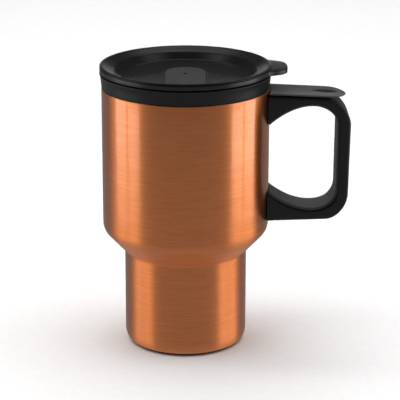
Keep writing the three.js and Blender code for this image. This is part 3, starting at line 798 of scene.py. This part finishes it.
def combine(base, operation, *tools):
    """Joins tools to a piece or cuts them out of it, and removes them."""
    for tool in tools:
        step = base.modifiers.new("step", "BOOLEAN")
        step.operation, step.solver, step.object = operation, "EXACT", tool
    bpy.context.view_layer.update()
    shape = base.evaluated_get(bpy.context.evaluated_depsgraph_get())
    worked = bpy.data.meshes.new_from_object(shape)
    base.modifiers.clear()
    base.data = worked
    for tool in tools:
        bpy.data.objects.remove(tool)
    tidy_mesh(base)


slider_low, slider_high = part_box("drink_slider")
slider_half = slider_high.x
slider_travel = 12 * mm
slot_front = -(bead_radius - 4.4 * mm)
stem_x, stem_y = 6 * mm, -9.5 * mm
vent_y = -2.7 * mm
vent_half = 1.1 * mm
rail_front, rail_rear, rail_height = -28.6 * mm, 4 * mm, 0.9 * mm
lid = lid_moulding()
rails = []
for side in (-1, 1):
    inner, outer = sorted((side * (slider_half + clearance), side * (slider_half + 1.3 * mm)))
    low, high = (inner, rail_front, floor_top - 1 * mm), (outer, rail_rear, floor_top + rail_height)
    rails.append(block(f"rail_{side}", low, high, 0.4 * mm))
combine(lid, "UNION", *rails)
through = floor_under - 1 * mm, floor_top + 1 * mm
slot_half, slot_width = 8.5 * mm, 7 * mm
floor_vent = vent_y + slider_travel
slot_low, slot_high = (-slot_half, slot_front, through[0]), (slot_half, slot_front + slot_width, through[1])
vent_low = (-vent_half, floor_vent - vent_half, through[0])
vent_high = (vent_half, floor_vent + vent_half, through[1])
openings = [block("slot", slot_low, slot_high, 2.2 * mm), block("vent", vent_low, vent_high, 1.09 * mm)]
for side in (-1, 1):
    low = (side * stem_x - 1 * mm, stem_y - 2.8 * mm, through[0])
    high = (side * stem_x + 1 * mm, stem_y + slider_travel + 2.8 * mm, through[1])
    openings.append(block(f"guide_{side}", low, high, 0.9 * mm))
combine(lid, "DIFFERENCE", *openings)
lid_black = moulded("lid plastic", (0.003, 0.003, 0.0033), (0.005, 0.005, 0.0055), 0.30, 0.28, 0.2, 0.4)
fit(lid, lid_black, "lid", "black_plastic", "lid_body")

# ---- Lid gasket ---------------------------------------------------------------------------------
# A silicone ring with a pointed lip sits in the plug's groove, and rubs on the liner when the lid is in.

gasket_middle = (gasket_low.z + gasket_high.z) / 2
gasket_inner = plug_radius - 1.15 * mm
lip_tip = gasket_high.x
gasket_profile = np.vstack(
    [
        [(gasket_inner, gasket_low.z), (plug_radius - 0.1 * mm, gasket_low.z)],
        [(plug_radius, gasket_low.z + 0.3 * mm), (plug_radius, gasket_middle - 0.45 * mm)],
        arc((lip_tip - 0.12 * mm, gasket_middle), 0.12 * mm, -70, 70, 5),
        [(plug_radius, gasket_middle + 0.45 * mm), (plug_radius, gasket_high.z - 0.3 * mm)],
        [(plug_radius - 0.1 * mm, gasket_high.z), (gasket_inner, gasket_high.z)],
    ]
)
fit(turned("plug_gasket", gasket_profile), grey_silicone, "lid", "silicone", "lid_gasket")

# ---- Drink slider -------------------------------------------------------------------------------
# A dark grey plate lies on the lid's floor between the rails. Pushed back by the lip along its front
# edge, it uncovers the drink slot, and its small vent comes over the vent in the floor.

slider_front = -slider_low.y
slider_rear = slider_high.y
slider_bottom = floor_top + clearance
slider_face = slider_bottom + 0.9 * mm


def slider_outline():
    """A front edge that follows the floor's edge, straight sides and a round rear end."""
    reach = math.degrees(math.asin(slider_half / slider_front))
    front = arc((0, 0), slider_front, -90 - reach, -90 + reach, 28)
    round_y = slider_rear - slider_half
    side = line(front[-1], (slider_half, round_y), 24)[1:]
    rear = arc((0, round_y), slider_half, 0, 180, 48)
    other = line((-slider_half, round_y), front[0], 24)[1:]
    return np.vstack([front, side, rear, other])


def slider_upper(x, y):
    """Flat, rising in a smooth ramp to the thumb lip along the front edge."""
    from_front = slider_front - np.hypot(x, y)
    share = np.clip(1 - from_front / (4.5 * mm), 0, 1) * (y < 0)
    return slider_face + 1.2 * mm * share**2 * (3 - 2 * share)


def slider_lower(x, y):
    """Flat, one clearance above the lid's floor."""
    return slider_bottom + 0 * x


edge_round = 0.3 * mm
slider = plate("slider_plate", slider_outline(), slider_upper, slider_lower, edge_round, edge_round, 40)
stems = []
for side in (-1, 1):
    low = (side * stem_x - 0.7 * mm, stem_y - 2.5 * mm, slider_low.z)
    high = (side * stem_x + 0.7 * mm, stem_y + 2.5 * mm, slider_bottom + 0.3 * mm)
    stems.append(block(f"stem_{side}", low, high, 0.3 * mm))
combine(slider, "UNION", *stems)
vent_low = (-0.85 * mm, vent_y - 1.3 * mm, slider_bottom - 1 * mm)
vent_high = (0.85 * mm, vent_y + 1.3 * mm, slider_face + 1 * mm)
combine(slider, "DIFFERENCE", block("slider_vent", vent_low, vent_high, 0.8 * mm))
slider_grey = moulded("slider plastic", (0.024, 0.024, 0.025), (0.032, 0.032, 0.033), 0.5, 0.2, 0.45)
fit(slider, slider_grey, "slider", "grey_plastic", "drink_slider")
cover("slider_keeper", satin_black)

# ---- Studio -------------------------------------------------------------------------------------
# The mug stands on pale paper, lit from overhead. At each side a two-panel soft box, brightest at its
# top and fading downwards, draws the tall highlights, and small lamps pick out the lid and the thumb
# rest. The room is dark above and lighter below, and the paper is kept out of the reflections.

floor = bpy.data.objects.new("studio_floor", bpy.data.meshes.new("studio_floor"))
bpy.context.scene.collection.objects.link(floor)
half = 6.0
corners = [(-half, -half, 0), (half, -half, 0), (half, half, 0), (-half, half, 0)]
floor.data.from_pydata(corners, [], [(0, 1, 2, 3)])
floor.visible_glossy = False
floor.visible_shadow = False
paper, paper_tree, paper_shader = new_material("pale paper")
paper_place = node(paper_tree, "TexCoord").outputs["Object"]
fibre = node(paper_tree, "TexNoise", Vector=paper_place, Scale=220.0, Detail=3.0)
fibre_share = spread(paper_tree, fibre.outputs[0], 0.0, 1.0, 0.35, 0.65)
paper_colour = tint(paper_tree, fibre_share, (0.87, 0.87, 0.87), (0.89, 0.89, 0.89))
paper_tree.links.new(paper_colour, paper_shader.inputs["Base Color"])
paper_shader.inputs["Roughness"].default_value = 0.8
paper_shader.inputs["Specular IOR Level"].default_value = 0.0
floor.data.materials.append(paper)


def soft_box(name, place, aim, width, height, glow, mirrored=True):
    """An area light of this size that stands at a place and faces another. Its glow is the radiance of its
    front, so its power is pi times glow times its area."""
    lamp = bpy.data.lights.new(name, "AREA")
    lamp.shape, lamp.size, lamp.size_y = "RECTANGLE", width, height
    lamp.energy = math.pi * glow * width * height
    holder = bpy.data.objects.new(name, lamp)
    bpy.context.scene.collection.objects.link(holder)
    place, aim = Vector(place), Vector(aim)
    holder.location = place
    holder.rotation_mode = "QUATERNION"
    holder.rotation_quaternion = (aim - place).to_track_quat("-Z", "Y")
    holder.visible_camera = False
    holder.visible_glossy = mirrored
    return holder


box_distance = 1.0
strip_top, box_top = 0.08, 0.95
strip_sides = ((-0.505, -0.14), (-0.09, 0.29))  # the near and far sides of the two lit strips, in y
left_levels, left_glows = (0.08, 0.0, -0.05, -0.10, -0.16, -0.24), (2.7, 2.2, 1.7, 1.2, 0.7)
right_levels, right_glows = (0.08, -0.02, -0.08, -0.12, -0.17, -0.24), (3.4, 2.9, 2.0, 1.3, 0.8)
for side, levels, glows in ((-1, left_levels, left_glows), (1, right_levels, right_glows)):
    for high, low, glow in zip(levels, levels[1:], glows):
        for near, far in strip_sides:
            middle = ((near + far) / 2, (low + high) / 2)
            place = (side * box_distance, *middle)
            soft_box(f"strip_{side}_{near}_{low}", place, (0, *middle), far - near, high - low, glow)
    middle = (0.0, (strip_top + box_top) / 2)
    soft_box(f"panel_{side}", (side * box_distance, *middle), (0, *middle), 1.0, box_top - strip_top, 1.1)
soft_box("overhead", (0, 0.2, 2.0), (0, 0.1, 0), 2.4, 2.4, 3.0, mirrored=False)
soft_box("back_overhead", (0, 1.25, 1.9), (0, 0, 0.15), 1.5, 0.45, 1.3)
for side in (-1, 1):
    soft_box(f"side_overhead_{side}", (side * 0.85, -0.05, 1.5), (0, 0, 0.15), 0.5, 0.5, 1.2)
soft_box("back_low", (0, 1.5, 0.24), (0, 0, 0.14), 0.8, 0.30, 0.8)

world = bpy.data.worlds.new("studio")
bpy.context.scene.world = world
world.use_nodes = True
air = world.node_tree
room = air.nodes["Background"]
room.inputs[0].default_value = (1, 1, 1, 1)
way = node(air, "SeparateXYZ", Vector=node(air, "TexCoord").outputs["Generated"]).outputs
# Light from below the horizon fades towards the back, and above it the room is nearly dark.
low_light = spread(air, way[1], 0.42, 0.24, -0.1, 0.6)
height_share = spread(air, way[2], 0.0, 1.0, -0.06, 0.08)
air.links.new(spread(air, height_share, low_light, 0.07), room.inputs[1])
backdrop = node(air, "Background", Strength=1.0)
backdrop.inputs[0].default_value = (1, 1, 1, 1)
either = node(air, "MixShader", i0=node(air, "LightPath").outputs["Is Camera Ray"])
air.links.new(room.outputs[0], either.inputs[1])
air.links.new(backdrop.outputs[0], either.inputs[2])
air.links.new(either.outputs[0], air.nodes["World Output"].inputs["Surface"])

eye = bpy.data.cameras.new("eye")
eye.sensor_width = 36
eye.lens = 161.1
viewer = bpy.data.objects.new("eye", eye)
bpy.context.scene.collection.objects.link(viewer)
viewer.location = (0, -0.9383, 0.3770)
viewer.rotation_euler = (math.radians(90 - 17.583), math.radians(-0.118), math.radians(-0.446))
bpy.context.scene.camera = viewer
bpy.context.scene.view_settings.view_transform = "Standard"

bpy.context.view_layer.update()
